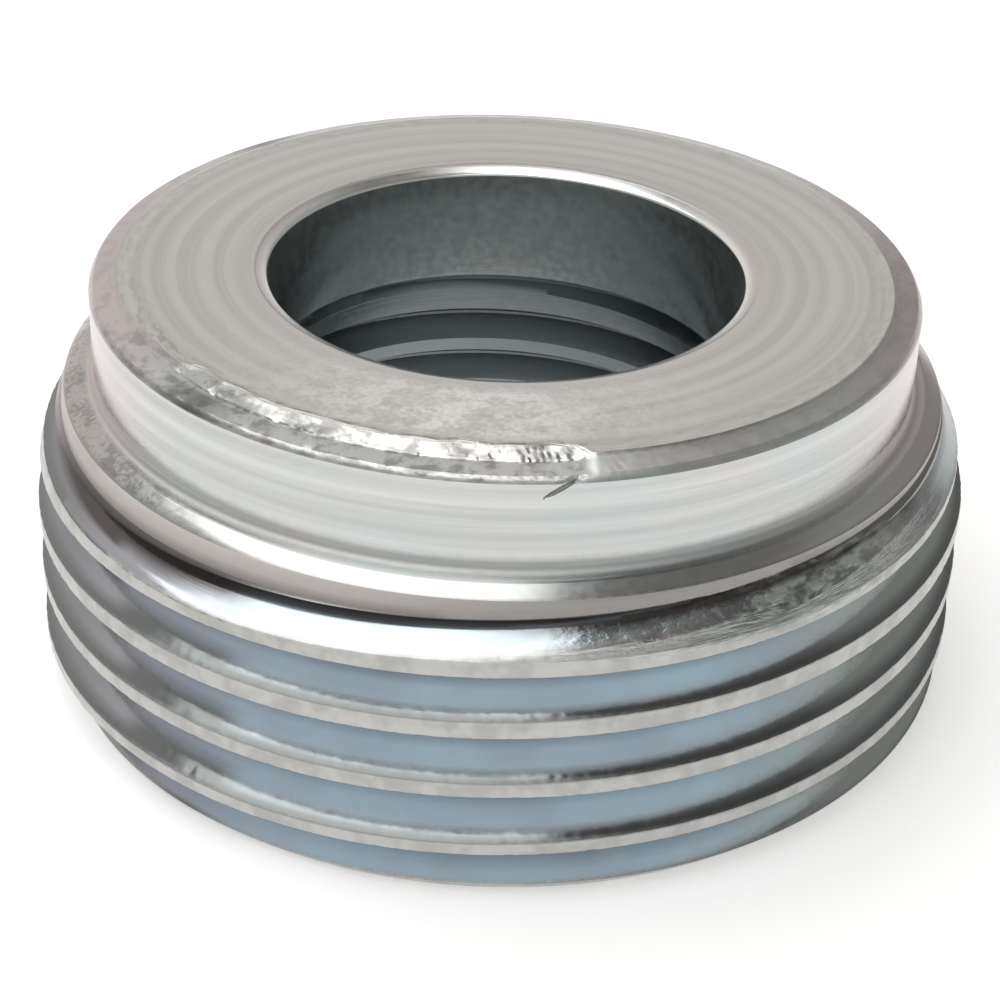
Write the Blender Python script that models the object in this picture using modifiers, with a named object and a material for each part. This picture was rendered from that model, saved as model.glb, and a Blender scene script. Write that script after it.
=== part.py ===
# Conduit reducer: a round reducing bushing turned from one piece of steel bar.
# A plain collar stands above a short male pipe thread, and a smooth throat opens
# below into a female pipe thread, so that a thin conduit fits a large hub.
# The origin is the centre of the bottom face, +Z points up through the collar.

import math

import bmesh
import bpy

mm = 0.001

# Collar, outside: a cylinder with a chamfer and a steeper facet round its rim. It ends
# in a shallow bevel, which spreads by bevelWidth to the land above the thread.
collarLength = 3.55 * mm
rimChamferWidth = 0.87 * mm
rimChamferDepth = 0.24 * mm
rimFacetWidth = 0.18 * mm
rimFacetDepth = 0.24 * mm
collarFillet = 0.2 * mm
bevelWidth = 1.15 * mm
bevelDrop = 0.36 * mm

# Male thread, 11 to the inch: bar radius, length below the lead cone, and the die's
# groove, whose root lies a little below the land and rises out of it at its end.
threadRadius = 16.6 * mm
threadLength = 9.8 * mm
threadPitch = 25.4 / 11 * mm
threadDepth = 1.0 * mm
landLength = 0.45 * mm
leadDrop = 0.9 * mm
footChamfer = 1.1 * mm
maleRootFlat = 0.06 * mm
rootBelowLand = 0.12 * mm
runoutSlope = 0.5
maleOvercut = 0.7 * mm
runoutTurn = 0.056

# Bore: a smooth throat with a rounded mouth above the tapped socket.
throatRadius = 8.3 * mm
throatLength = 4.45 * mm
mouthRound = 0.62 * mm
stepDrop = 0.3 * mm

# Female thread, 14 to the inch: radius of its crests at the bottom face, and the
# tap's groove.
socketRadius = 8.95 * mm
socketPitch = 25.4 / 14 * mm
socketDepth = 1.05 * mm
countersinkWidth = 1.45 * mm
femaleRootFlat = 0.1 * mm
femaleOvercut = 0.35 * mm
femaleTurn = 0.07
tapLeadSlope = 0.8
tapLeadLength = 1.2 * mm

# Both threads taper by 1 in 16 on the diameter and have 60 degree flanks.
taper = 1 / 32
flankSlope = math.tan(math.radians(30))

# Facets round the piece and on a rounded corner, and the distance and the angle
# below which points are merged and faces shaded as one.
facets = 60
roundSteps = 4
mergeDistance = 0.01 * mm
smoothAngle = math.radians(25)

# Bright zinc on turned steel, a cool light grey.
zincColour = (0.56, 0.58, 0.59, 1)
zincRoughness = 0.32

# Heights and radii that follow from the sizes above, counted from the bottom face.
leadFoot = threadLength
landFoot = leadFoot + leadDrop
landTop = landFoot + landLength
bevelTop = landTop + bevelDrop
height = bevelTop + collarLength
landRadius = threadRadius - threadDepth
collarRadius = landRadius - bevelWidth
stepHeight = height - throatLength
socketTop = stepHeight - stepDrop
socketTopRadius = socketRadius - taper * socketTop


def arc(centreX, centreZ, radius, startDegrees, endDegrees, steps):
    # Points on a circle in the XZ plane, both ends included.
    points = []
    for i in range(steps + 1):
        angle = math.radians(startDegrees + (endDegrees - startDegrees) * i / steps)
        points.append((centreX + radius * math.cos(angle), centreZ + radius * math.sin(angle)))
    return points


def blankOutline():
    # The half section of the turned blank, down its outer side and up the bore.
    chamferRadius = collarRadius - rimFacetWidth
    chamferFoot = height - rimChamferDepth
    bevelAngle = math.atan2(bevelDrop, bevelWidth)
    filletReach = collarFillet * math.tan((math.pi / 2 - bevelAngle) / 2)
    filletEnd = 270 - math.degrees(bevelAngle)
    points = [(chamferRadius - rimChamferWidth, height), (chamferRadius, chamferFoot)]
    points += [(collarRadius, chamferFoot - rimFacetDepth)]
    points += arc(collarRadius + collarFillet, bevelTop + filletReach, collarFillet, 180, filletEnd, roundSteps)
    points += [(landRadius, landTop), (landRadius, landFoot), (threadRadius, leadFoot)]
    points += [(threadRadius, footChamfer), (threadRadius - footChamfer, 0)]
    sinkRadius = socketRadius + countersinkWidth
    sinkHeight = countersinkWidth / (1 + taper)
    points += [(sinkRadius, 0), (socketRadius - taper * sinkHeight, sinkHeight)]
    points += [(socketTopRadius, socketTop), (throatRadius, stepHeight)]
    mouthX = throatRadius + mouthRound
    points += arc(mouthX, height - mouthRound, mouthRound, 180, 90, roundSteps)
    return points


def profileObject(name, points, collection):
    # A closed outline in the XZ plane, as edges only.
    count = len(points)
    mesh = bpy.data.meshes.new(name)
    mesh.from_pydata([(x, 0, z) for x, z in points], [(i, (i + 1) % count) for i in range(count)], [])
    obj = bpy.data.objects.new(name, mesh)
    collection.objects.link(obj)
    return obj


def addScrew(obj, rise, turns):
    screw = obj.modifiers.new("turn", "SCREW")
    screw.axis = "Z"
    screw.angle = 2 * math.pi
    screw.screw_offset = rise
    screw.iterations = turns
    screw.steps = facets
    screw.render_steps = facets
    screw.use_merge_vertices = rise == 0
    screw.merge_threshold = mergeDistance


def grooveSection(tipRadius, openRadius, rootFlat):
    # A V with a small flat at its tip, wide at the side that stands in the air.
    halfTip = rootFlat / 2
    halfOpen = halfTip + flankSlope * abs(openRadius - tipRadius)
    return [(openRadius, halfOpen), (openRadius, -halfOpen), (tipRadius, -halfTip), (tipRadius, halfTip)]


def helicalCutter(name, section, pitch, topHeight, topTurn, radialShift, collection):
    # The section is carried down a right-hand helix until it is clear of the bottom
    # face. Its centre line is at topHeight when it has turned by topTurn from -Y, and
    # it goes on up to the next facet edge, so that its steps meet the blank's facets.
    endTurn = math.ceil(topTurn * facets) / facets
    topHeight += (endTurn - topTurn) * pitch
    turns = math.ceil(topHeight / pitch) + 1
    sweep = profileObject(name + "_sweep", section, collection)
    addScrew(sweep, pitch, turns)
    bpy.context.view_layer.update()
    evaluated = sweep.evaluated_get(bpy.context.evaluated_depsgraph_get())
    mesh = bpy.data.meshes.new_from_object(evaluated)
    mesh.name = name
    bpy.data.objects.remove(sweep)

    bm = bmesh.new()
    bm.from_mesh(mesh)
    ends = [edge for edge in bm.edges if edge.is_boundary]
    bmesh.ops.holes_fill(bm, edges=ends, sides=len(section))
    startHeight = topHeight - turns * pitch
    startAngle = 2 * math.pi * endTurn - math.pi / 2
    cosine = math.cos(startAngle)
    sine = math.sin(startAngle)
    for vert in bm.verts:
        x, y, z = vert.co
        z += startHeight
        radius = math.hypot(x, y)
        scale = (radius + radialShift(z)) / radius
        vert.co = ((x * cosine - y * sine) * scale, (x * sine + y * cosine) * scale, z)
    bmesh.ops.triangulate(bm, faces=bm.faces)
    bmesh.ops.recalc_face_normals(bm, faces=bm.faces)
    bm.to_mesh(mesh)
    bm.free()

    cutter = bpy.data.objects.new(name, mesh)
    cutter.hide_render = True
    cutter.display_type = "WIRE"
    collection.objects.link(cutter)
    return cutter


def maleGroove(collection):
    # The root follows the taper, and comes out of the land at the thread's top.
    rootRadius = landRadius - rootBelowLand
    section = grooveSection(rootRadius, threadRadius + maleOvercut, maleRootFlat)
    turnAtBevel = runoutTurn + (bevelTop - landFoot) / threadPitch

    def shift(z):
        return taper * (z - landFoot) + runoutSlope * max(0, z - landFoot)

    return helicalCutter("male_groove", section, threadPitch, bevelTop, turnAtBevel, shift, collection)


def femaleGroove(collection):
    # The root narrows upwards with the taper, and quickly over the tap's lead.
    leadFootHeight = socketTop - tapLeadLength / 2
    rootRadius = socketRadius + socketDepth
    section = grooveSection(rootRadius, socketRadius - femaleOvercut, femaleRootFlat)
    topHeight = socketTop + tapLeadLength

    def shift(z):
        return -taper * z - tapLeadSlope * max(0, z - leadFootHeight)

    return helicalCutter("female_groove", section, socketPitch, topHeight, femaleTurn, shift, collection)


def zincPlatedSteel():
    material = bpy.data.materials.new("zinc_plated_steel")
    material.use_nodes = True
    shader = material.node_tree.nodes["Principled BSDF"]
    shader.inputs["Base Color"].default_value = zincColour
    shader.inputs["Metallic"].default_value = 1
    shader.inputs["Roughness"].default_value = zincRoughness
    return material


def reducerBody(partCollection, cutterCollection):
    body = profileObject("reducer_body", blankOutline(), partCollection)
    addScrew(body, 0, 1)
    for cutter in (maleGroove(cutterCollection), femaleGroove(cutterCollection)):
        cut = body.modifiers.new(cutter.name, "BOOLEAN")
        cut.operation = "DIFFERENCE"
        cut.solver = "EXACT"
        cut.object = cutter
    body.data.materials.append(zincPlatedSteel())
    return body


def smoothShading(body):
    # The turned and cut mesh is kept as the object's own, smooth but for its edges.
    bpy.context.view_layer.update()
    evaluated = body.evaluated_get(bpy.context.evaluated_depsgraph_get())
    mesh = bpy.data.meshes.new_from_object(evaluated)
    mesh.name = body.name
    body.modifiers.clear()
    body.data = mesh
    mesh.shade_smooth()
    mesh.set_sharp_from_angle(angle=smoothAngle)


def newCollection(name):
    collection = bpy.data.collections.new(name)
    bpy.context.scene.collection.children.link(collection)
    return collection


def main():
    for obj in list(bpy.data.objects):
        bpy.data.objects.remove(obj)
    body = reducerBody(newCollection("conduit_reducer"), newCollection("cutters"))
    smoothShading(body)


main()
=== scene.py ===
# A zinc-plated conduit reducer, shown on a pale floor.
# The turned and threaded metal is one closed surface worked out with numpy: rings for the
# plain parts, and rows that climb with the helix for the two threads.
# Sizes are in mm from the bottom face, and turns are in rad from the front (-Y) towards +X.

import math

import bpy
import numpy as np
from mathutils import Matrix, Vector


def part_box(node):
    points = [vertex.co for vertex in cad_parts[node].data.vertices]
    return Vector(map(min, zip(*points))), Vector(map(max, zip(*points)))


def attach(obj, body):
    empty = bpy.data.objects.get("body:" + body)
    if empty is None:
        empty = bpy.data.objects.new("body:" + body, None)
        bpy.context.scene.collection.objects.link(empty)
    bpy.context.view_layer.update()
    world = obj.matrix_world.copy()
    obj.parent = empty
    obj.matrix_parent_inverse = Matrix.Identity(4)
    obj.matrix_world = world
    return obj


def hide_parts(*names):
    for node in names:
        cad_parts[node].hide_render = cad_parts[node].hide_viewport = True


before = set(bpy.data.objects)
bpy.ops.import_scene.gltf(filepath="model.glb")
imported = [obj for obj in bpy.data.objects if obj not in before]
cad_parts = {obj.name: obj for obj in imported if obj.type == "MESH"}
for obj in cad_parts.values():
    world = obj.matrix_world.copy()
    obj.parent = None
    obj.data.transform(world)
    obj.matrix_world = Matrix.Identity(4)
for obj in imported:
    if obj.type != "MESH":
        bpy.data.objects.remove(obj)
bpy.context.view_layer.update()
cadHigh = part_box("reducer_body")[1]
mm = 0.001

reducer = {
    "columns": 480,             # points round the piece
    "frontCrowding": 0.58,      # 0 spreads them evenly, towards 1 crowds them at the front
    "faceSink": 0.02,           # keeps the rough face inside the solid's box
    "collarLength": 3.55,
    "filletRadius": 0.3,        # at the collar's foot
    "bevelDrop": 0.36,
    "bevelWidth": 1.15,
    "bevelBreak": (0.53, 0.1),  # out and down from the collar's foot to the bevel's steeper part
    "footSink": 0.03,           # how much lower the bevel's inner edge lies
    "landLength": 0.45,
    "landLean": 0.13,           # how far the lip above the thread leans in at its top
    "landSink": 0.07,
    "leadDrop": 0.9,
    "leadEase": 0.1,            # how much smaller the first crest is
    "leadSink": 0.1,            # and how much lower it starts
    "footChamfer": 1.1,
    "mouthArcs": [(0.15, 180, 115), (3.0, 115, 105)],   # radius, and degrees from start to end
    "throatRadius": 8.3,
    "throatLength": 4.8,
    "stepDrop": 0.3,
    "countersink": 1.45,
    "taper": 1 / 32,            # of both threads, on the radius
}
reducer["height"] = cadHigh.z / mm
reducer["threadRadius"] = cadHigh.x / mm

maleThread = {
    "side": 1,                  # cut into the outside
    "pitch": 25.4 / 11,
    "depth": 1.0,
    "rootFlat": 0.06,
    "rootBelowLand": 0.3,
    "centreSink": 0.104,        # keeps the lower edges of the crests in place
    "runoutSlope": 0.5,         # how fast the root rises out of the land at the groove's end
    "runoutTurn": 0.056,        # turns from the front at which the groove leaves the thread
    "flankRows": 3,
    "crestRows": 3,
    "cornerWidth": 0.09,        # of the dark strip of painted shade along the upper corner of each crest
}

femaleThread = {
    "side": -1,                 # cut into the bore
    "pitch": 25.4 / 14,
    "depth": 1.05,
    "rootFlat": 0.1,
    "crestRadius": 8.95,        # at the bottom face
    "startTurn": 0.07,
    "leadSlope": 0.8,
    "leadLength": 1.2,
    "flankRows": 2,
    "crestRows": 2,
    "cornerWidth": 0.1,
}

flankTangent = math.tan(math.radians(30))


def columnAngles():
    # Angle = even step - k * sin(even step): close together at the front, wide at the back.
    even = 2 * np.pi * np.arange(reducer["columns"]) / reducer["columns"]
    return even - reducer["frontCrowding"] * np.sin(even)


def fromFront(angle):
    # The same angle between -pi and pi, with the front at 0 and the left side below 0.
    return (angle + np.pi) % (2 * np.pi) - np.pi


def ripple(angle, across, cycles, perMm, seed, terms=28):
    # Sum of sine waves with whole cycles round the piece and random ones across it, of unit strength.
    draw = np.random.default_rng(seed)
    total = np.zeros(np.broadcast(angle, across).shape)
    for _ in range(terms):
        around = draw.integers(max(1, cycles // 4), cycles)
        slope = 2 * np.pi * draw.normal(0, perMm)
        total += np.sin(around * angle + slope * across + draw.uniform(0, 2 * np.pi))
    return total / math.sqrt(terms / 2)


def smoothStep(value, start, end):
    # 0 before start, 1 after end, and 3t^2 - 2t^3 between.
    t = np.clip((value - start) / (end - start), 0, 1)
    return t * t * (3 - 2 * t)


def fade(value, start, end):
    # 1 before start and 0 after end.
    return 1 - smoothStep(value, start, end)


def within(value, start, full, fading, end):
    # 0 outside start and end, and 1 from full to fading.
    return smoothStep(value, start, full) * fade(value, fading, end)


def bump(value, centre, width):
    # A bell: exp(-((value - centre) / width)^2).
    return np.exp(-((value - centre) / width) ** 2)


# Heights and radii that follow from the sizes.
landRadius = reducer["threadRadius"] - maleThread["depth"]
collarRadius = landRadius - reducer["bevelWidth"]
bevelTop = reducer["height"] - reducer["collarLength"]
landTop = bevelTop - reducer["bevelDrop"]
landFoot = landTop - reducer["landLength"]
leadFoot = landFoot - reducer["leadDrop"]
stepHeight = reducer["height"] - reducer["throatLength"]
socketTop = stepHeight - reducer["stepDrop"]
sinkHeight = reducer["countersink"] / (1 + reducer["taper"])
sinkRadius = femaleThread["crestRadius"] + reducer["countersink"]
throatStart = stepHeight + femaleThread["leadLength"]
lipTop = landTop - reducer["landSink"]
lipFoot = landFoot - reducer["landSink"]
firstCrest = leadFoot - reducer["leadSink"]

# The blanks' outlines as pairs of height and radius, from the foot up. The first crest and the
# lip ease in over a few rows.
maleThread["blank"] = np.array([
    (0, reducer["threadRadius"] - reducer["footChamfer"]),
    (reducer["footChamfer"], reducer["threadRadius"]),
    (leadFoot - 1.6, reducer["threadRadius"] - 0.2 * reducer["leadEase"]),
    (firstCrest, reducer["threadRadius"] - reducer["leadEase"]),
    (lipFoot, landRadius),
    (lipTop - 0.2, landRadius - 0.3 * reducer["landLean"]),
    (lipTop, landRadius - reducer["landLean"])])
femaleThread["blank"] = np.array([
    (0, sinkRadius),
    (sinkHeight, femaleThread["crestRadius"] - reducer["taper"] * sinkHeight),
    (socketTop, femaleThread["crestRadius"] - reducer["taper"] * socketTop),
    (stepHeight, reducer["throatRadius"]),
    (throatStart, reducer["throatRadius"])])
maleThread["centre"] = landFoot - maleThread["centreSink"] - maleThread["runoutTurn"] * maleThread["pitch"]
femaleThread["centre"] = socketTop + femaleThread["leadLength"] - femaleThread["startTurn"] * femaleThread["pitch"]


def blankSide(thread, height):
    # Radius of the unthreaded blank, counted negative in the bore so that metal is always inwards.
    return thread["side"] * np.interp(height, *thread["blank"].T)


def rootSide(thread, centre):
    # Radius at the groove's root, for a groove centred at that height.
    if thread["side"] > 0:
        rise = thread["runoutSlope"] * np.maximum(0, centre - landFoot)
        return landRadius - thread["rootBelowLand"] + reducer["taper"] * (centre - landFoot) + rise
    lead = np.maximum(0, centre - socketTop + thread["leadLength"] / 2)
    return -(thread["crestRadius"] + thread["depth"] - reducer["taper"] * centre - thread["leadSlope"] * lead)


def grooveSide(thread, centre, distance):
    # A flat root, then a straight flank at 30 degrees to the thread's cross plane.
    return rootSide(thread, centre) + np.maximum(0, distance - thread["rootFlat"] / 2) / flankTangent


def groovedSide(thread, angle, height):
    # The lower of the blank and of the grooves just below and just above this height.
    pitch = thread["pitch"]
    below = thread["centre"] + pitch * angle / (2 * np.pi)
    below = below + pitch * np.floor((height - below) / pitch)
    above = below + pitch
    cut = np.minimum(grooveSide(thread, below, height - below), grooveSide(thread, above, above - height))
    return np.minimum(blankSide(thread, height), cut)


def edgeDistance(thread, centre, direction, near, far):
    # Distance from a groove's centre line, up or down, at which its wall meets the blank,
    # found by halving the way between near and far.
    def isOpen(distance):
        return blankSide(thread, centre + direction * distance) > grooveSide(thread, centre, distance)

    inner = np.full_like(centre, near)
    outer = np.full_like(centre, far)
    cutAtStart = isOpen(inner)
    for _ in range(36):
        middle = (inner + outer) / 2
        inside = isOpen(middle) == cutAtStart
        inner = np.where(inside, middle, inner)
        outer = np.where(inside, outer, middle)
    return np.where(cutAtStart, inner, near)


def threadGrid(thread, angles):
    # Columns step along the helix and rows cross one pitch, from groove centre to groove centre.
    # Rows lie on the root, flank and crest edges and on the blank's own edges, sorted by height.
    count = len(angles)
    blankHeights = thread["blank"][:, 0]
    lowest, highest = blankHeights[0], blankHeights[-1]
    first = math.floor((lowest - thread["centre"]) / thread["pitch"]) - 1
    turns = math.ceil((highest - lowest) / thread["pitch"]) + 3
    steps = np.arange(turns * count + 1)
    angle = angles[steps % count]
    centre = thread["centre"] + thread["pitch"] * (first + steps // count + angle / (2 * np.pi))
    flat = thread["rootFlat"] / 2
    reach = flat + thread["depth"]
    up = edgeDistance(thread, centre, 1, 0.0, reach)
    down = edgeDistance(thread, centre, -1, flat, reach)
    flankShares = np.arange(1, thread["flankRows"]) / thread["flankRows"]
    corner = thread["cornerWidth"]
    rowsUp = [centre, centre + np.minimum(flat, up)]
    rowsUp += [rowsUp[1] + share * (centre + up - rowsUp[1]) for share in flankShares] + [centre + up]
    rowsDown = [centre, centre - flat] + [centre - flat - share * (down - flat) for share in flankShares]
    rowsDown += [centre - np.maximum(0, down - corner), centre - down, centre - down - corner]
    lower = [row[:-count] for row in rowsUp]
    upper = [row[count:] for row in rowsDown]
    crestShares = np.arange(1, thread["crestRows"]) / thread["crestRows"]
    crest = [lower[-1] + share * (upper[-2] - lower[-1]) for share in crestShares]
    edges = [np.clip(edge, lower[0], upper[0]) for edge in blankHeights[1:-1]]
    heights = np.sort(np.clip(np.array(lower + crest + upper + edges), lowest, highest), axis=0)
    angle = np.broadcast_to(angle[:-count], heights.shape)
    radius = np.abs(groovedSide(thread, angle, heights))
    return angle[::-1], radius[::-1], heights[::-1]


def ringGrid(angles, rows):
    # Each row is a radius and a height, as numbers or as values round the piece.
    radius = np.array([np.broadcast_to(row[0], angles.shape) for row in rows], float)
    height = np.array([np.broadcast_to(row[1], angles.shape) for row in rows], float)
    closed = [np.hstack([part, part[:, :1]]) for part in (radius, height)]
    angle = np.broadcast_to(np.append(angles, angles[0]), closed[0].shape)
    return angle, closed[0], closed[1]


def arcRows(centreRadius, centreHeight, radius, start, end, count):
    # Points on a circle in the section plane, from start to end in degrees.
    turn = np.radians(np.linspace(start, end, count))
    return [(centreRadius + radius * math.cos(t), centreHeight + radius * math.sin(t)) for t in turn]


def lineRows(start, end, shares):
    # Points on a straight line in the section plane, at these shares of its length.
    return [(start[0] + share * (end[0] - start[0]), start[1] + share * (end[1] - start[1])) for share in shares]


def mouthRows(top):
    # A tight round at the throat that runs on into a wide, flat one up to the face.
    rows = [(reducer["throatRadius"], 0)]
    for radius, start, end in reducer["mouthArcs"]:
        out, up = rows[-1]
        turn = math.radians(start)
        rows += arcRows(out - radius * math.cos(turn), up - radius * math.sin(turn), radius, start, end, 6)
    return [(out, top + up - rows[-1][1]) for out, up in rows]


rim = {
    "faceRadius": 13.4,
    "chamfer": [(0.29, 0.08), (0.58, 0.16), (0.87, 0.24)],        # steps outwards and down
    "facet": [(0.93, 0.315), (0.99, 0.395), (1.03, 0.48)],        # steeper, down to the collar
    "collarRows": [0.54, 0.64, 0.78, 0.95, 1.12, 1.3],
    "burrStart": (-1.47, -0.72),    # turns over which the rolled edge grows to its full width
    "burrEnd": (0.175, 0.215),      # and over which it ends
    "plainShare": 0.15,             # how ragged the rest of the rim is beside it
    "burrInset": 0.1,
    "burrWidth": 0.5,               # how much further in it starts
    "burrDrop": 0.2,
    "burrStep": (0.01, 0.04),       # the torn line under it: everywhere, and more under the burr
    "edgeWave": 0.05,
    "roughness": 0.004,
    "burrRoughness": 0.008,
    "innerEdge": (12.5, 13.0),      # radii between which the roughness starts
    "ripples": [(300, 1.6, 31), (260, 1.2, 32)],     # cycles round the piece, cycles per mm, seed
}


def burrShare(angle):
    # 1 along the rolled edge at the front left, 0 elsewhere, with a quick end on the right.
    return within(fromFront(angle), *rim["burrStart"], *rim["burrEnd"])


def outerRows(angles):
    # From the mouth of the bore over the face, the rim and the collar to the land.
    top = reducer["height"] - reducer["faceSink"]
    mouth = mouthRows(top)
    rows = lineRows((reducer["throatRadius"], throatStart), mouth[0], (0, 0.33, 0.67)) + mouth

    burr = burrShare(angles)
    ragged = rim["plainShare"] + burr
    drop = rim["burrDrop"] * burr
    face = rim["faceRadius"]
    edge = face - 0.02 - rim["burrWidth"] * burr - rim["burrInset"] * ragged
    edge = edge + rim["edgeWave"] * ripple(angles, 0, 60, 0, 11) * ragged
    rows += lineRows((mouth[-1][0], top), (edge, top), (0.2, 0.4, 0.6, 0.8, 0.92, 1))
    rows += lineRows((edge, top), (face, top - drop), (0.25, 0.5, 0.75, 1))
    rows += [(face + 0.05, top - drop - rim["burrStep"][0] - rim["burrStep"][1] * burr)]
    chamferFoot, facetFoot = rim["chamfer"][-1][0], rim["facet"][-1][0]
    rows += [(face + out, top - down - drop * (1 - 0.8 * out / chamferFoot)) for out, down in rim["chamfer"]]
    rows += [(face + out, top - down - 0.3 * drop * (facetFoot - out)) for out, down in rim["facet"]]

    collar = face + facetFoot
    fillet = reducer["filletRadius"]
    foot = bevelTop - reducer["footSink"]
    breakOut, breakDown = reducer["bevelBreak"]
    breakAngle = math.atan2(breakDown, breakOut)
    filletFoot = foot + fillet * math.tan((math.pi / 2 - breakAngle) / 2)
    rows += [(collar, top - down) for down in rim["collarRows"]]
    rows += [(collar, level) for level in np.linspace(rows[-1][1], filletFoot, 7)[1:-1]]
    rows += arcRows(collar + fillet, filletFoot, fillet, 180, 270 - math.degrees(breakAngle), 8)
    steeper = (collar + breakOut, foot - breakDown)
    rows += lineRows((collar, foot), steeper, (0.75, 1))
    rows += lineRows(steeper, (landRadius - reducer["landLean"], lipTop), (0.08, 0.4, 0.8, 1))
    return rows


def footRows(angles):
    # From the thread's foot across the flat bottom face to the countersink.
    start = groovedSide(maleThread, angles, np.zeros_like(angles))
    inner = reducer["threadRadius"] - reducer["footChamfer"] - 0.5
    return [(start, 0)] + lineRows((inner, 0), (sinkRadius, 0), (0, 0.5, 1))


def quadFaces(rows, columns, offset):
    # Two triangles for each cell of a grid, facing away from the metal.
    index = offset + np.arange(rows * columns).reshape(rows, columns)
    a, b, c, d = index[:-1, :-1], index[1:, :-1], index[1:, 1:], index[:-1, 1:]
    first = np.stack([a, b, c], -1).reshape(-1, 3)
    second = np.stack([a, c, d], -1).reshape(-1, 3)
    return np.vstack([first, second])


def placed(polar):
    # Angle, radius and height as x, y and z.
    angle, radius, height = polar.T
    return np.stack([radius * np.sin(angle), -radius * np.cos(angle), height], 1)


def weld(points, faces):
    # Points that coincide to 0.0001 mm become one, and faces that closed up are dropped.
    keys = np.round(points * 10000).astype(np.int64)
    _, keep, back = np.unique(keys, axis=0, return_index=True, return_inverse=True)
    faces = back.reshape(-1)[faces]
    whole = (faces[:, 0] != faces[:, 1]) & (faces[:, 1] != faces[:, 2]) & (faces[:, 0] != faces[:, 2])
    return keep, faces[whole]


def latheSurface():
    # All the grids in one list of points and triangles, each point as angle, radius and height.
    angles = columnAngles()
    bore = [part[::-1] for part in threadGrid(femaleThread, angles)]
    grids = [ringGrid(angles, outerRows(angles)), threadGrid(maleThread, angles),
             ringGrid(angles, footRows(angles)), bore]
    parts = []
    faces = []
    offset = 0
    for angle, radius, height in grids:
        parts.append(np.stack([angle.ravel(), radius.ravel(), height.ravel()], 1))
        faces.append(quadFaces(*angle.shape, offset))
        offset += angle.size
    polar = np.vstack(parts)
    keep, faces = weld(placed(polar), np.vstack(faces))
    return polar[keep], faces


nick = {
    "middle": (1.9, 0.68),      # mm round from the front and below the face
    "reach": 0.66,              # half its length and half its width
    "width": 0.085,
    "slope": 148,               # degrees from the horizontal
    "dent": 0.05,
}


def nickOval(angle, depthDown):
    # Squared distance in an oval that leans along the nick: 1 on its outline.
    across = fromFront(angle) * collarRadius - nick["middle"][0]
    down = depthDown - nick["middle"][1]
    cosine, sine = math.cos(math.radians(nick["slope"])), math.sin(math.radians(nick["slope"]))
    along = (across * cosine + down * sine) / nick["reach"]
    aside = (down * cosine - across * sine) / nick["width"]
    return along ** 2 + aside ** 2


def belowRoot(angle, height):
    # Height counted from the nearest groove's centre line: negative on the flank that faces up.
    phase = (height - maleThread["centre"]) / maleThread["pitch"] - angle / (2 * np.pi)
    return (phase - np.round(phase)) * maleThread["pitch"]


def cornerDistance(angle, height):
    # Height above the upper corner of the crest that the flank facing up belongs to.
    signed = belowRoot(angle, height)
    deep = reducer["threadRadius"] - rootSide(maleThread, height - signed)
    return signed + maleThread["rootFlat"] / 2 + deep * flankTangent


def isOutside(radius):
    return radius > (collarRadius + sinkRadius) / 2


wear = {
    "torn": 0.009,              # roughness of the rolled crests
    "tornReach": 0.35,          # how far it goes below the full radius
    "tornRipples": [(90, 0.8, 21, 1.0), (240, 1.5, 22, 0.7)],   # cycles round, per mm, seed, share
    "side": 0.28,               # how much the first crest is worn down at the two sides
    "sideStart": (2.2, 0.2),    # from and to these distances below the first crest
    "grooveSink": 0.15,         # how much lower the lip's foot and the first groove lie all round
    "leftSink": 0.32,           # and more at the left
    "leftTurn": (-0.9, 0.7),    # middle and half width of that part
    "sinkStart": (0.75, 0.05),  # below the first crest
    "sinkEnd": (0.42, -0.1),    # below the lip's top
}


def roughen(polar):
    # The worn crests of the male thread, the rolled rim and the nick in it, as small moves of the points.
    angle, radius, height = polar.T
    depthDown = reducer["height"] - height
    outside = isOutside(radius)

    onThread = outside & (height < landFoot)
    proud = smoothStep(radius, reducer["threadRadius"] - wear["tornReach"], reducer["threadRadius"])
    torn = sum(share * ripple(angle, height, *waves) for *waves, share in wear["tornRipples"])
    radius = radius - np.where(onThread, proud * wear["torn"] * np.abs(torn), 0)

    sideStart, sideFull = wear["sideStart"]
    worn = within(height, firstCrest - sideStart, firstCrest - sideFull, firstCrest + 0.1, lipFoot)
    radius = radius - outside * wear["side"] * np.sin(angle) ** 4 * worn

    sink = wear["grooveSink"] + wear["leftSink"] * bump(fromFront(angle), *wear["leftTurn"])
    (sinkStart, sinkFull), (sinkFading, sinkEnd) = wear["sinkStart"], wear["sinkEnd"]
    height = height - outside * sink * within(
        height, firstCrest - sinkStart, firstCrest - sinkFull, lipTop - sinkFading, lipTop - sinkEnd)

    nearRim = bump(depthDown, 0.2, 0.2) * smoothStep(radius, *rim["innerEdge"]) * outside
    strength = nearRim * (rim["roughness"] + rim["burrRoughness"] * burrShare(angle))
    radius = radius - strength * np.abs(ripple(angle, radius + depthDown, *rim["ripples"][0]))
    height = height - strength * np.abs(ripple(angle, radius, *rim["ripples"][1]))

    radius = radius - nick["dent"] * np.exp(-0.4 * nickOval(angle, depthDown)) * outside
    return np.stack([angle, radius, np.clip(height, 0, reducer["height"])], 1), onThread
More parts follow.
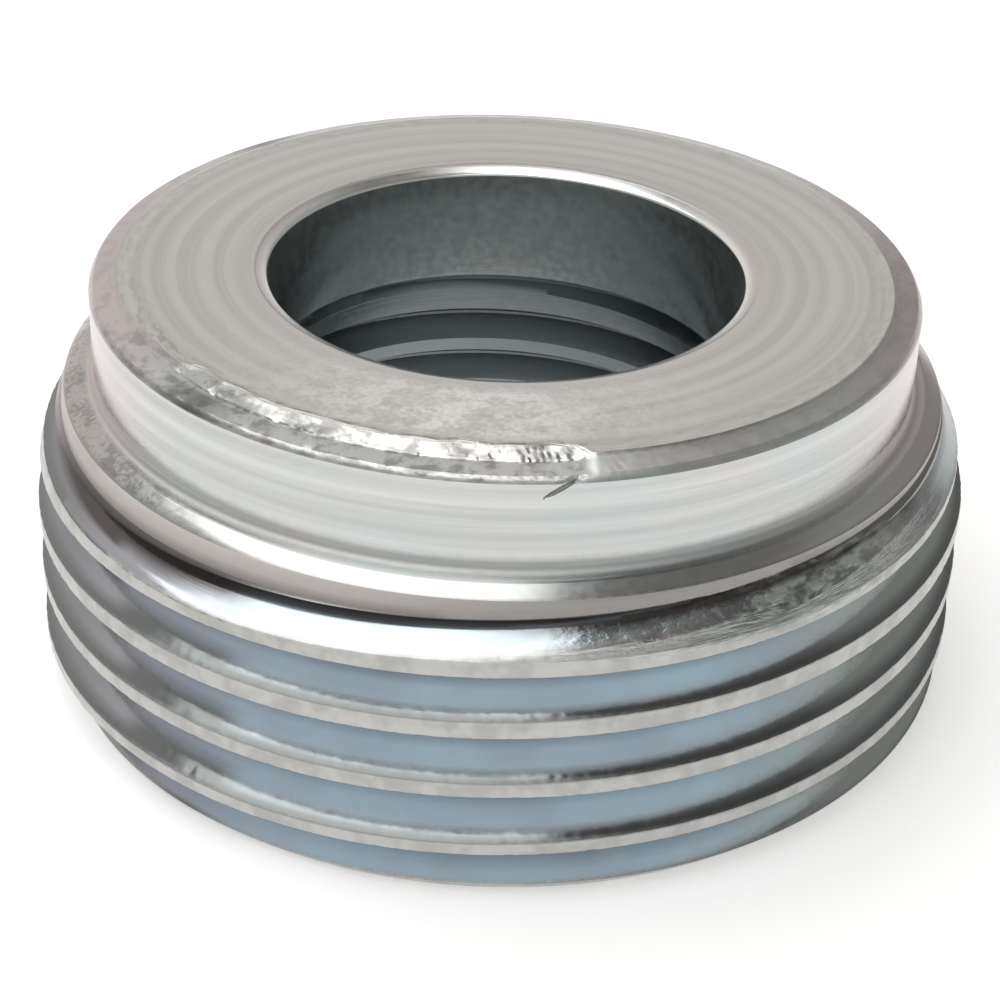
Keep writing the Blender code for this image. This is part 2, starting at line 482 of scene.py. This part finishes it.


# Where each finish and each painted light and shade starts and where it is full, in mm or, where it says turn, in rad
# from the front.
finish = {
    "flankDepth": (0.02, 0.14),             # below the blank
    "rootDepth": (0.95, 1.25),
    "tappedRootDepth": (0.6, 0.95),
    "runoutRise": (0.0, 0.1),               # above the land's radius
    "runoutEnd": (0.05, 0.3),               # above the land's foot, along the helix
    "runoutLeft": 0.42,                     # how much more of the flank it covers at the left
    "runoutLeftTurn": (0.4, 1.05, 1.7, 2.3),
    "edgeStrip": (0.08, 0.22),              # painted shade, above each crest's upper corner
    "edgeWide": 0.3,                        # how much wider it is at one place
    "edgeWideTurn": (-0.7, 0.17),
    "crestLow": (0.1, 0.5),                 # painted shade on the crest, below that corner
    # painted shade on the lead cone, towards the right
    "dullTurn": (0.85, 1.25, 1.8, 2.6),
    "footHeight": (0.3, 0.5),               # above the bevel's top
    "footReach": (0.15, 0.3),               # outside the collar
    "bevelTurn": (0.55, 0.9, 1.6, 2.4),     # towards the left
    "tornTurn": (0.62, 0.32),
    "lipLow": (0, 0.3),                     # painted shade, above the lip's foot
    "boreReach": (0.05, 0.35),              # outside the throat
    "faceDepth": (0.03, 0.1),
    # painted shadow specks under the rolled rim
    "rimDepth": (0.46, 0.52),
    "rimRadius": (12.5, 12.8),
    "chamferReach": (0.04, 0.12),           # outside the flat face
    "chamferDepth": (0.49, 0.56),
    "faceHighlightTurn": (-0.12, 0.5),
    "faceHighlightRadius": (9.1, 9.8, 12.2, 12.9),
    "noTool": 99,                           # the nick's coordinate where it can't be
}


def surfaceMasks(polar, onThread):
    # Where each finish and each painted light and shade lies, from 0 to 1, and the place across the tool's path, in
    # mm.
    angle, radius, height = polar.T
    signed = fromFront(angle)
    depthDown = reducer["height"] - height
    outside = isOutside(radius)
    cut = np.where(onThread, blankSide(maleThread, height) - radius, 0)
    female = (radius < sinkRadius + 0.1) & (height < throatStart)
    boreCut = np.where(female, radius + blankSide(femaleThread, height), 0)
    signedHeight = belowRoot(angle, height)
    corner = cornerDistance(angle, height)
    burr = burrShare(angle)

    def span(value, name, origin=0, step=smoothStep):
        return step(value - origin, *finish[name])

    masks = {}
    masks["flank"] = span(cut, "flankDepth")
    masks["crest"] = np.where(onThread & (height < leadFoot), 1 - masks["flank"], 0)
    # Painted shade on the lower part of each crest.
    masks["crestLow"] = masks["crest"] * span(-corner, "crestLow")
    # Thread roots: grime with painted shade.
    masks["root"] = span(cut, "rootDepth") + span(boreCut, "tappedRootDepth")
    line = height - signedHeight
    leftRise = finish["runoutLeft"] * span(-signed, "runoutLeftTurn", 0, within)
    masks["runout"] = (onThread & (line > landFoot - maleThread["pitch"] * 0.75)) * span(
        radius, "runoutRise", landRadius + leftRise, fade) * span(
        line, "runoutEnd", landFoot, fade) * fade(height, lipFoot - 0.02, lipFoot + 0.02)
    # Painted shade: a dark strip just above each crest's upper corner, wider at one place towards the left.
    wide = finish["edgeWide"] * bump(signed, *finish["edgeWideTurn"])
    masks["edge"] = onThread * (height < firstCrest - 0.3) * span(
        corner, "edgeStrip", wide, fade) * smoothStep(corner, -0.03, 0)

    # Above the first crest: the painted shade and the torn part of the lead cone, the lip and the bevel.
    # Painted shade on the right part of the lead cone.
    masks["dull"] = onThread * smoothStep(
        height, firstCrest - 0.1, firstCrest + 0.1) * span(signed, "dullTurn", 0, within)
    masks["torn"] = onThread * smoothStep(height, firstCrest - 0.2, firstCrest) * bump(signed, *finish["tornTurn"])
    masks["lip"] = outside * within(height, lipFoot - 0.06, lipFoot - 0.01, lipTop - 0.02, lipTop + 0.03)
    masks["lipLow"] = masks["lip"] * span(height, "lipLow", lipFoot, fade)
    masks["bevel"] = outside * (height > lipTop + 0.02) * span(radius, "footReach", collarRadius) * span(
        -signed, "bevelTurn", 0, within)
    masks["foot"] = outside * span(height, "footHeight", bevelTop, fade) * span(
        radius, "footReach", collarRadius, fade)

    masks["bore"] = np.maximum(span(radius, "boreReach", reducer["throatRadius"], fade), female & (height > 0.05))
    masks["socket"] = female & (height < stepHeight + 0.1)
    masks["face"] = span(depthDown, "faceDepth", 0, fade)
    # Painted shadow specks under the rolled rim, strongest along the burr.
    masks["rimBand"] = span(depthDown, "rimDepth", 0, fade) * span(radius, "rimRadius") * (0.25 + 0.75 * burr)
    masks["chamfer"] = span(radius, "chamferReach", rim["faceRadius"]) * span(depthDown, "chamferDepth", 0, fade)
    # Painted highlight patches on the face in front of the bore.
    masks["faceHighlight"] = masks["face"] * bump(signed, *finish["faceHighlightTurn"]) * span(radius, "faceHighlightRadius", 0, within)
    masks["side"] = np.sin(signed) * 0.5 + 0.5          # 0 at the left, 1 at the right

    # Across the cut: a circle once for each pitch on the thread, the depth or the radius elsewhere.
    across = np.where(masks["face"] > 0.5, collarRadius - radius, depthDown)
    turn = 2 * np.pi * signedHeight / maleThread["pitch"]
    threaded = onThread * fade(height, leadFoot - 0.2, leadFoot + 0.2)
    circle = maleThread["pitch"] / (2 * np.pi)
    tool = np.stack([across * (1 - threaded) + circle * np.cos(turn) * threaded,
                     circle * np.sin(turn) * threaded,
                     np.where(onThread, finish["noTool"], signed * collarRadius)], 1)
    return {name: np.clip(values, 0, 1) for name, values in masks.items()}, tool


def reducerMetal():
    polar, faces = latheSurface()
    shaped, onThread = roughen(polar)
    mesh = bpy.data.meshes.new("reducer_metal")
    mesh.vertices.add(len(shaped))
    mesh.vertices.foreach_set("co", (placed(shaped) * mm).ravel())
    mesh.loops.add(faces.size)
    mesh.loops.foreach_set("vertex_index", faces.ravel())
    mesh.polygons.add(len(faces))
    mesh.polygons.foreach_set("loop_start", np.arange(0, faces.size, 3))
    mesh.update(calc_edges=True)
    mesh.validate()

    masks, tool = surfaceMasks(polar, onThread)
    for name, values in masks.items():
        mesh.attributes.new(name, "FLOAT", "POINT").data.foreach_set("value", values.astype(np.float32))
    mesh.attributes.new("tool", "FLOAT_VECTOR", "POINT").data.foreach_set("vector", tool.astype(np.float32).ravel())

    mesh.shade_smooth()
    mesh.set_sharp_from_angle(angle=math.radians(21))
    piece = bpy.data.objects.new("reducer_metal", mesh)
    bpy.context.scene.collection.objects.link(piece)
    print("reducer metal:", len(shaped), "points,", len(faces), "triangles")
    return piece


# Shader building blocks.
def addNode(tree, kind, values=None, **settings):
    made = tree.nodes.new(kind)
    for name, value in settings.items():
        setattr(made, name, value)
    for name, value in (values or {}).items():
        if isinstance(value, bpy.types.NodeSocket):
            tree.links.new(value, made.inputs[name])
        else:
            made.inputs[name].default_value = value
    return made


def maths(tree, operation, first, second=0.0, clamp=False):
    return addNode(tree, "ShaderNodeMath", {0: first, 1: second}, operation=operation, use_clamp=clamp).outputs[0]


def times(tree, first, second):
    return maths(tree, "MULTIPLY", first, second)


def greatest(tree, *values):
    highest = values[0]
    for value in values[1:]:
        highest = maths(tree, "MAXIMUM", highest, value)
    return highest


def mixColour(tree, share, first, second, blend="MIX"):
    made = addNode(tree, "ShaderNodeMix", {0: share, 6: first, 7: second}, data_type="RGBA", blend_type=blend)
    return made.outputs[2]


def spread(tree, value, low, high, outLow=0.0, outHigh=1.0):
    made = addNode(tree, "ShaderNodeMapRange", {0: value, 1: low, 2: high, 3: outLow, 4: outHigh},
                   interpolation_type="SMOOTHSTEP")
    return made.outputs[0]


def attribute(tree, name, output="Fac"):
    return addNode(tree, "ShaderNodeAttribute", attribute_name=name).outputs[output]


def newGroup(name, inputs, outputs):
    group = bpy.data.node_groups.new(name, "ShaderNodeTree")
    for label, kind, value in inputs:
        socket = group.interface.new_socket(label, in_out="INPUT", socket_type=kind)
        if value is not None:
            socket.default_value = value
    for label in outputs:
        group.interface.new_socket(label, in_out="OUTPUT", socket_type="NodeSocketFloat")
    return group, group.nodes.new("NodeGroupInput"), group.nodes.new("NodeGroupOutput")


def toolMarksGroup():
    # Fine lines that run round the piece: noise that is stretched along the cut and tight across it.
    group, given, result = newGroup("tool_marks", [
        ("Place", "NodeSocketVector", None), ("Tool", "NodeSocketVector", None),
        ("Lines per mm", "NodeSocketFloat", 5.0), ("Stretch", "NodeSocketFloat", 0.05)], ["Height"])
    place = addNode(group, "ShaderNodeSeparateXYZ", {0: given.outputs["Place"]})
    tool = addNode(group, "ShaderNodeSeparateXYZ", {0: given.outputs["Tool"]})
    lines = given.outputs["Lines per mm"]
    stretch = given.outputs["Stretch"]
    vector = addNode(group, "ShaderNodeCombineXYZ", {
        0: times(group, place.outputs[0], stretch), 1: times(group, place.outputs[1], stretch),
        2: times(group, tool.outputs[0], lines)})
    noise = addNode(group, "ShaderNodeTexNoise", {
        "Vector": vector.outputs[0], "W": times(group, tool.outputs[1], lines),
        "Scale": 1.0, "Detail": 3.0, "Roughness": 0.6}, noise_dimensions="4D")
    group.links.new(noise.outputs[0], result.inputs["Height"])
    return group


def mottleGroup():
    # Patches of two sizes, for the plating's uneven bloom and its specks.
    group, given, result = newGroup("mottle", [
        ("Place", "NodeSocketVector", None), ("Patch size", "NodeSocketFloat", 3.0),
        ("Speck size", "NodeSocketFloat", 0.3)], ["Patches", "Specks"])
    for label, size, detail in (("Patches", "Patch size", 2.0), ("Specks", "Speck size", 3.0)):
        scale = maths(group, "DIVIDE", 1.0, given.outputs[size])
        noise = addNode(group, "ShaderNodeTexNoise", {
            "Vector": given.outputs["Place"], "Scale": scale, "Detail": detail, "Roughness": 0.55})
        group.links.new(spread(group, noise.outputs[0], 0.32, 0.68), result.inputs[label])
    return group


def nickGroup():
    # An oval that leans along the nick, from the same sizes as the dent: 1 inside it, 0 outside.
    group, given, result = newGroup("nick", [("Tool", "NodeSocketVector", None)], ["Share"])
    tool = addNode(group, "ShaderNodeSeparateXYZ", {0: given.outputs["Tool"]})
    across = maths(group, "SUBTRACT", tool.outputs[2], nick["middle"][0])
    down = maths(group, "SUBTRACT", tool.outputs[0], nick["middle"][1])
    cosine, sine = math.cos(math.radians(nick["slope"])), math.sin(math.radians(nick["slope"]))
    along = maths(group, "ADD", times(group, across, cosine / nick["reach"]), times(group, down, sine / nick["reach"]))
    aside = maths(group, "SUBTRACT", times(group, down, cosine / nick["width"]),
                  times(group, across, sine / nick["width"]))
    oval = maths(group, "ADD", times(group, along, along), times(group, aside, aside))
    group.links.new(spread(group, oval, 1.1, 0.5), result.inputs["Share"])
    return group


zinc = {
    "plain": (0.57, 0.575, 0.565, 1),
    "cool": (0.53, 0.60, 0.59, 1),      # the plating's cyan bloom
    "warm": (0.62, 0.56, 0.565, 1),     # and its pink one, which also gives the painted sheen at the collar's sides
    "coolShare": 0.6,
    "warmShare": 0.3,
    "face": (0.58, 0.57, 0.55, 1),
    # painted highlight: near-white patches on the face in front of the bore
    "faceHighlight": (0.95, 0.935, 0.91, 1),
    "flank": (0.51, 0.60, 0.65, 1),     # grooves, bluer
    # painted shade: greyer flanks at the left, darker at the far left, greyer at the right; the left grey also colours
    # random patches
    "flankLeftShadeAndMottle": (0.45, 0.46, 0.50, 1),
    "flankFarShade": (0.33, 0.33, 0.36, 1),
    "flankRightShade": (0.50, 0.54, 0.52, 1),
    "flankMottle": 0.35,
    # dark grey: painted shade along each crest's upper corner and at the lip's foot, also the dark place on the
    # chamfer and in the torn patch
    "edge": (0.22, 0.235, 0.235, 1),
    "lip": (0.43, 0.39, 0.375, 1),
    "lipRightShade": (0.33, 0.31, 0.30, 1),
    "lipLowShare": 0.6,                 # how much painted shade darkens its foot
    "crest": (0.47, 0.47, 0.455, 1),
    # painted shade on the lower part of each crest, also the darker patches on the bevel's left part
    "crestLow": (0.35, 0.35, 0.34, 1),
    "torn": (0.62, 0.68, 0.64, 1),
    # painted light: the throat is lighter than the plain zinc
    "bore": (0.90, 0.93, 0.91, 1),
    # painted shade: the tapped part of the bore and the right part of the lead cone
    "socket": (0.28, 0.31, 0.32, 1),
    # near black: grime, and painted shade and shadow in the thread roots, under the rolled rim and in the nick
    "dirtAndShade": (0.10, 0.085, 0.08, 1),
    # grime with painted shade in the thread roots
    "rootGrimeAndShade": 0.3,
    "rimBurrShadow": 0.5,
    "runoutDirt": 0.9,
    # painted shade in the nick's slit
    "nickShade": 0.8,
    "chamferDarkAt": 0.158,                   # place on the chamfer, 0 at the left, 1 at the right
    "chamferDarkSpread": 0.05,
    "markLines": (4.0, 0.06),           # lines per mm and stretch
    "ringLines": (2.2, 0.03),
    "tornLines": (4.0, 1.4),
    "patchSizes": (3.2, 0.35),          # mm, patches and specks
    "finePatchSizes": (0.9, 0.17),
    "roughness": 0.19,
    "flankRoughness": 0.11,
    "crestRoughness": 0.27,
    "chamferRoughness": 0.32,
    "footRoughness": 0.5,               # where the collar meets the bevel
    "speckRoughness": 0.05,
    "markHeight": 0.0035,               # mm
    "ringHeight": 0.02,
    "tornHeight": 0.12,
    "nickDepth": 0.05,
}


def platingPatterns(tree, tool):
    # The patterns that colour, roughness and relief share.
    place = addNode(tree, "ShaderNodeVectorMath", {
        0: addNode(tree, "ShaderNodeTexCoord").outputs["Object"], 1: (1 / mm,) * 3}, operation="MULTIPLY").outputs[0]
    toolMarks, mottle = toolMarksGroup(), mottleGroup()
    pattern = {}
    for name, key in (("marks", "markLines"), ("rings", "ringLines"), ("torn", "tornLines")):
        lines, stretch = zinc[key]
        pattern[name] = addNode(tree, "ShaderNodeGroup", {
            "Place": place, "Tool": tool, "Lines per mm": lines, "Stretch": stretch}, node_tree=toolMarks).outputs[0]
    for patches, specks, key in (("patches", "specks", "patchSizes"), ("finePatches", "fineSpecks", "finePatchSizes")):
        made = addNode(tree, "ShaderNodeGroup", {
            "Place": place, "Patch size": zinc[key][0], "Speck size": zinc[key][1]}, node_tree=mottle)
        pattern[patches], pattern[specks] = made.outputs
    pattern["grain"] = maths(tree, "ADD", pattern["finePatches"], pattern["fineSpecks"])
    pattern["nick"] = addNode(tree, "ShaderNodeGroup", {"Tool": tool}, node_tree=nickGroup()).outputs[0]
    return pattern


def plainColour(tree, mask, pattern):
    # The collar's zinc with its bloom and a painted pink sheen at its left and right sides, and the face's with its
    # rings and painted highlight patches in front of the bore.
    colour = mixColour(tree, times(tree, pattern["patches"], zinc["coolShare"]), zinc["plain"], zinc["cool"])
    warm = times(tree, spread(tree, pattern["marks"], 0.4, 0.65), zinc["warmShare"])
    colour = mixColour(tree, warm, colour, zinc["warm"])
    colour = mixColour(tree, 1.0, colour, spread(tree, pattern["rings"], 0.3, 0.7, 0.86, 1.12), "MULTIPLY")
    # Painted sheen: a pink tint where the collar turns away at its left and right sides.
    edgeOn = maths(tree, "ABSOLUTE", maths(tree, "SUBTRACT", mask["side"], 0.5))
    colour = mixColour(tree, spread(tree, edgeOn, 0.36, 0.5), colour, zinc["warm"])
    face = mixColour(tree, 1.0, zinc["face"], spread(tree, pattern["rings"], 0.3, 0.7, 0.93, 1.12), "MULTIPLY")
    faceHighlight = times(tree, mask["faceHighlight"], spread(tree, pattern["grain"], 0.2, 1.9, 0.15, 0.95))
    face = mixColour(tree, faceHighlight, face, zinc["faceHighlight"])
    return mixColour(tree, mask["face"], colour, face)


def lipColour(tree, mask, pattern, colour):
    # The lip above the thread, with painted shade to the right and at its foot, and darker patches on the left part of
    # the bevel.
    lip = mixColour(tree, spread(tree, mask["side"], 0.33, 0.55), zinc["lip"], zinc["lipRightShade"])
    lip = mixColour(tree, times(tree, mask["lipLow"], zinc["lipLowShare"]), lip, zinc["edge"])
    colour = mixColour(tree, mask["lip"], colour, lip)
    worn = times(tree, mask["bevel"], spread(tree, pattern["grain"], 0.5, 1.5, 1.0, 0.2))
    return mixColour(tree, worn, colour, zinc["crestLow"])


def threadColour(tree, mask, pattern, colour):
    # Blue flanks with painted shade that greys them towards the sides, dull crests with painted shade on their lower
    # part, and painted shade in a dark strip along their upper corners.
    flank = mixColour(tree, spread(tree, mask["side"], 0.72, 0.9), zinc["flank"], zinc["flankRightShade"])
    flank = mixColour(tree, spread(tree, mask["side"], 0.3, 0.12), flank, zinc["flankLeftShadeAndMottle"])
    flank = mixColour(tree, times(tree, pattern["patches"], zinc["flankMottle"]), flank, zinc["flankLeftShadeAndMottle"])
    flank = mixColour(tree, spread(tree, mask["side"], 0.13, 0.04), flank, zinc["flankFarShade"])
    crest = mixColour(tree, mask["crestLow"], zinc["crest"], zinc["crestLow"])
    crest = mixColour(tree, 1.0, crest, spread(tree, pattern["finePatches"], 0.0, 1.0, 0.88, 1.06), "MULTIPLY")
    colour = mixColour(tree, mask["crest"], colour, crest)
    colour = mixColour(tree, mask["flank"], colour, flank)
    return mixColour(tree, mask["edge"], colour, zinc["edge"])


def boreColour(tree, mask, pattern, colour):
    # The dark place on the chamfer, painted shade on the right part of the lead cone, painted light in the throat with
    # painted shade in the tapped part below it, and the torn patch.
    # A darker place on the chamfer towards the left.
    away = maths(tree, "ABSOLUTE", maths(tree, "SUBTRACT", mask["side"], zinc["chamferDarkAt"]))
    chamferDark = maths(tree, "SUBTRACT", 1.0, times(tree, 1 / zinc["chamferDarkSpread"], away), clamp=True)
    colour = mixColour(tree, times(tree, mask["chamfer"], chamferDark), colour, zinc["edge"])
    colour = mixColour(tree, mask["dull"], colour, zinc["socket"])
    # Painted light in the throat, painted shade in the tapped part below it.
    colour = mixColour(tree, mask["bore"], colour, zinc["bore"])
    colour = mixColour(tree, mask["socket"], colour, zinc["socket"])
    torn = mixColour(tree, spread(tree, pattern["torn"], 0.4, 0.6), zinc["edge"], zinc["torn"])
    return mixColour(tree, mask["torn"], colour, torn)


def dirtAndShadeColour(tree, mask, pattern, colour):
    # Grime and painted shade in the thread roots, painted shadow specks under the rolled rim, grime in the run-out
    # groove, painted shade in the nick.
    specks = times(tree, mask["rimBand"], spread(tree, pattern["torn"], 0.45, 0.62))
    dirtAndShade = greatest(tree, times(tree, mask["root"], zinc["rootGrimeAndShade"]), times(tree, specks, zinc["rimBurrShadow"]),
                    times(tree, mask["runout"], zinc["runoutDirt"]), times(tree, pattern["nick"], zinc["nickShade"]))
    return mixColour(tree, dirtAndShade, colour, zinc["dirtAndShade"])


def platedRoughness(tree, mask, pattern):
    rough = spread(tree, mask["flank"], 0, 1, zinc["roughness"], zinc["flankRoughness"])
    rough = spread(tree, mask["crest"], 0, 1, rough, zinc["crestRoughness"])
    coarse = greatest(tree, mask["chamfer"], mask["lip"], mask["torn"])
    rough = spread(tree, coarse, 0, 1, rough, zinc["chamferRoughness"])
    rough = spread(tree, mask["foot"], 0, 1, rough, zinc["footRoughness"])
    return maths(tree, "ADD", rough, times(tree, pattern["specks"], zinc["speckRoughness"]))


def platedRelief(tree, mask, pattern):
    # Fine tool marks everywhere, rings on the face, a ragged torn patch and the nick.
    fine = times(tree, pattern["marks"], zinc["markHeight"])
    rings = times(tree, pattern["rings"], times(tree, mask["face"], zinc["ringHeight"]))
    ragged = times(tree, pattern["torn"], times(tree, mask["torn"], zinc["tornHeight"]))
    height = maths(tree, "ADD", maths(tree, "ADD", fine, rings), ragged)
    height = maths(tree, "SUBTRACT", height, times(tree, pattern["nick"], zinc["nickDepth"]))
    return addNode(tree, "ShaderNodeBump", {"Height": height, "Distance": mm}).outputs[0]


def zincMaterial(maskNames):
    material = bpy.data.materials.new("zinc_plate")
    material.use_nodes = True
    tree = material.node_tree
    shader = tree.nodes["Principled BSDF"]
    shader.inputs["Metallic"].default_value = 1.0
    mask = {name: attribute(tree, name) for name in maskNames}
    pattern = platingPatterns(tree, attribute(tree, "tool", "Vector"))

    # Plain zinc first, then each cut surface's own tint with its painted light and shade, then the dirt and the
    # painted shade.
    colour = plainColour(tree, mask, pattern)
    for tint in (lipColour, threadColour, boreColour, dirtAndShadeColour):
        colour = tint(tree, mask, pattern, colour)
    tree.links.new(colour, shader.inputs["Base Color"])
    tree.links.new(platedRoughness(tree, mask, pattern), shader.inputs["Roughness"])
    tree.links.new(platedRelief(tree, mask, pattern), shader.inputs["Normal"])
    return material


stage = {
    "halfWidth": 1.5,
    "colour": (0.86, 0.86, 0.86, 1),
    "roughness": 0.9,
    "specular": 0.1,
    "whiteLift": 0.42,          # added for the camera and for mirrors, so that the lit floor is white
}


def paleFloor():
    # A square on a grid of two parameters, level with the piece's foot.
    side = np.linspace(-stage["halfWidth"], stage["halfWidth"], 5)
    x, y = np.meshgrid(side, side)
    points = np.stack([x.ravel(), y.ravel(), np.zeros(x.size)], 1)
    index = np.arange(x.size).reshape(x.shape)
    quads = np.stack([index[:-1, :-1], index[:-1, 1:], index[1:, 1:], index[1:, :-1]], -1).reshape(-1, 4)
    mesh = bpy.data.meshes.new("pale_floor")
    mesh.from_pydata(points.tolist(), [], quads.tolist())
    floor = bpy.data.objects.new("pale_floor", mesh)
    bpy.context.scene.collection.objects.link(floor)
    material = bpy.data.materials.new("pale_floor")
    material.use_nodes = True
    tree = material.node_tree
    shader = tree.nodes["Principled BSDF"]
    shader.inputs["Base Color"].default_value = stage["colour"]
    shader.inputs["Roughness"].default_value = stage["roughness"]
    shader.inputs["Specular IOR Level"].default_value = stage["specular"]
    path = addNode(tree, "ShaderNodeLightPath").outputs
    seen = greatest(tree, path["Is Camera Ray"], path["Is Glossy Ray"], path["Is Transmission Ray"])
    lift = times(tree, seen, stage["whiteLift"])
    glow = addNode(tree, "ShaderNodeEmission", {"Color": (1, 1, 1, 1), "Strength": lift})
    both = addNode(tree, "ShaderNodeAddShader", {0: shader.outputs[0], 1: glow.outputs[0]})
    tree.links.new(both.outputs[0], tree.nodes["Material Output"].inputs["Surface"])
    mesh.materials.append(material)


# Each lamp is a rectangle that faces down. Radiance is its brightness as a mirror would show it.
lamps = {
    "key": {"at": (-0.17, 0.0, 0.46), "size": (0.44, 0.56), "radiance": 1.9, "colour": (1, 0.99, 0.97)},
    "front": {"at": (-0.06, -0.30, 0.38), "size": (0.5, 0.14), "radiance": 1.7, "colour": (1, 1, 0.99)},
}


def addLamps():
    for name, lamp in lamps.items():
        light = bpy.data.lights.new(name, "AREA")
        light.shape = "RECTANGLE"
        light.size, light.size_y = lamp["size"]
        light.energy = lamp["radiance"] * math.pi * lamp["size"][0] * lamp["size"][1]
        light.color = lamp["colour"]
        holder = bpy.data.objects.new(name, light)
        holder.location = lamp["at"]
        bpy.context.scene.collection.objects.link(holder)


# Each side's colour, and the range of the direction's right, back or up share over which it comes in.
room = {
    "front": {"colour": (0.40, 0.39, 0.38, 1)},
    "horizon": {"colour": (0.62, 0.61, 0.60, 1), "along": "up", "range": (0.30, 0.18)},
    "back": {"colour": (0.74, 0.715, 0.69, 1), "along": "back", "range": (-0.1, 0.55)},
    "right": {"colour": (0.30, 0.30, 0.285, 1), "along": "right", "range": (0.16, 0.42)},
    "farLeft": {"colour": (0.42, 0.41, 0.40, 1), "along": "right", "range": (-0.7, -0.9)},
    "ceiling": {"colour": (0.17, 0.16, 0.155, 1), "along": "up", "range": (0.70, 0.80)},
}


def paintRoom():
    # The sides are laid over each other in turn, and the camera sees white past the floor.
    world = bpy.data.worlds.new("room")
    bpy.context.scene.world = world
    world.use_nodes = True
    tree = world.node_tree
    towards = addNode(tree, "ShaderNodeSeparateXYZ", {0: addNode(tree, "ShaderNodeTexCoord").outputs["Generated"]})
    direction = dict(zip(("right", "back", "up"), towards.outputs))
    colour = room["front"]["colour"]
    for side in list(room.values())[1:]:
        colour = mixColour(tree, spread(tree, direction[side["along"]], *side["range"]), colour, side["colour"])
    seen = addNode(tree, "ShaderNodeLightPath").outputs["Is Camera Ray"]
    colour = mixColour(tree, seen, colour, (1, 1, 1, 1))
    tree.links.new(colour, tree.nodes["Background"].inputs["Color"])


view = {
    "elevation": 30.63,         # degrees
    "roll": 1.97,               # degrees, the picture's right side low
    "distance": 92.72,          # mm
    "focalShare": 2.5229,       # focal length over the picture's width
    "target": (0.049, 0, reducer["height"] - 9.594),
}


def addCamera():
    camera = bpy.data.cameras.new("camera")
    camera.sensor_width = 36
    camera.lens = camera.sensor_width * view["focalShare"]
    camera.clip_start = 0.001
    holder = bpy.data.objects.new("camera", camera)
    bpy.context.scene.collection.objects.link(holder)
    rise = math.radians(view["elevation"])
    roll = math.radians(view["roll"])
    right = np.array([1, 0, 0])
    up = np.array([0, math.sin(rise), math.cos(rise)])
    back = np.array([0, -math.cos(rise), math.sin(rise)])
    place = (np.array(view["target"]) + view["distance"] * back) * mm
    axes = [right * math.cos(roll) + up * math.sin(roll), up * math.cos(roll) - right * math.sin(roll), back, place]
    rows = np.vstack([np.array(axes).T, [0, 0, 0, 1]])
    holder.matrix_world = Matrix(rows.tolist())
    bpy.context.scene.camera = holder


bpy.context.scene.view_settings.view_transform = "Standard"
addCamera()
paintRoom()
addLamps()
paleFloor()
print("stage set")

metal = reducerMetal()
floatMasks = [layer.name for layer in metal.data.attributes if layer.data_type == "FLOAT"]
metal.data.materials.append(zincMaterial(floatMasks))
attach(metal, "root")
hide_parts("reducer_body")
print("metal dressed")
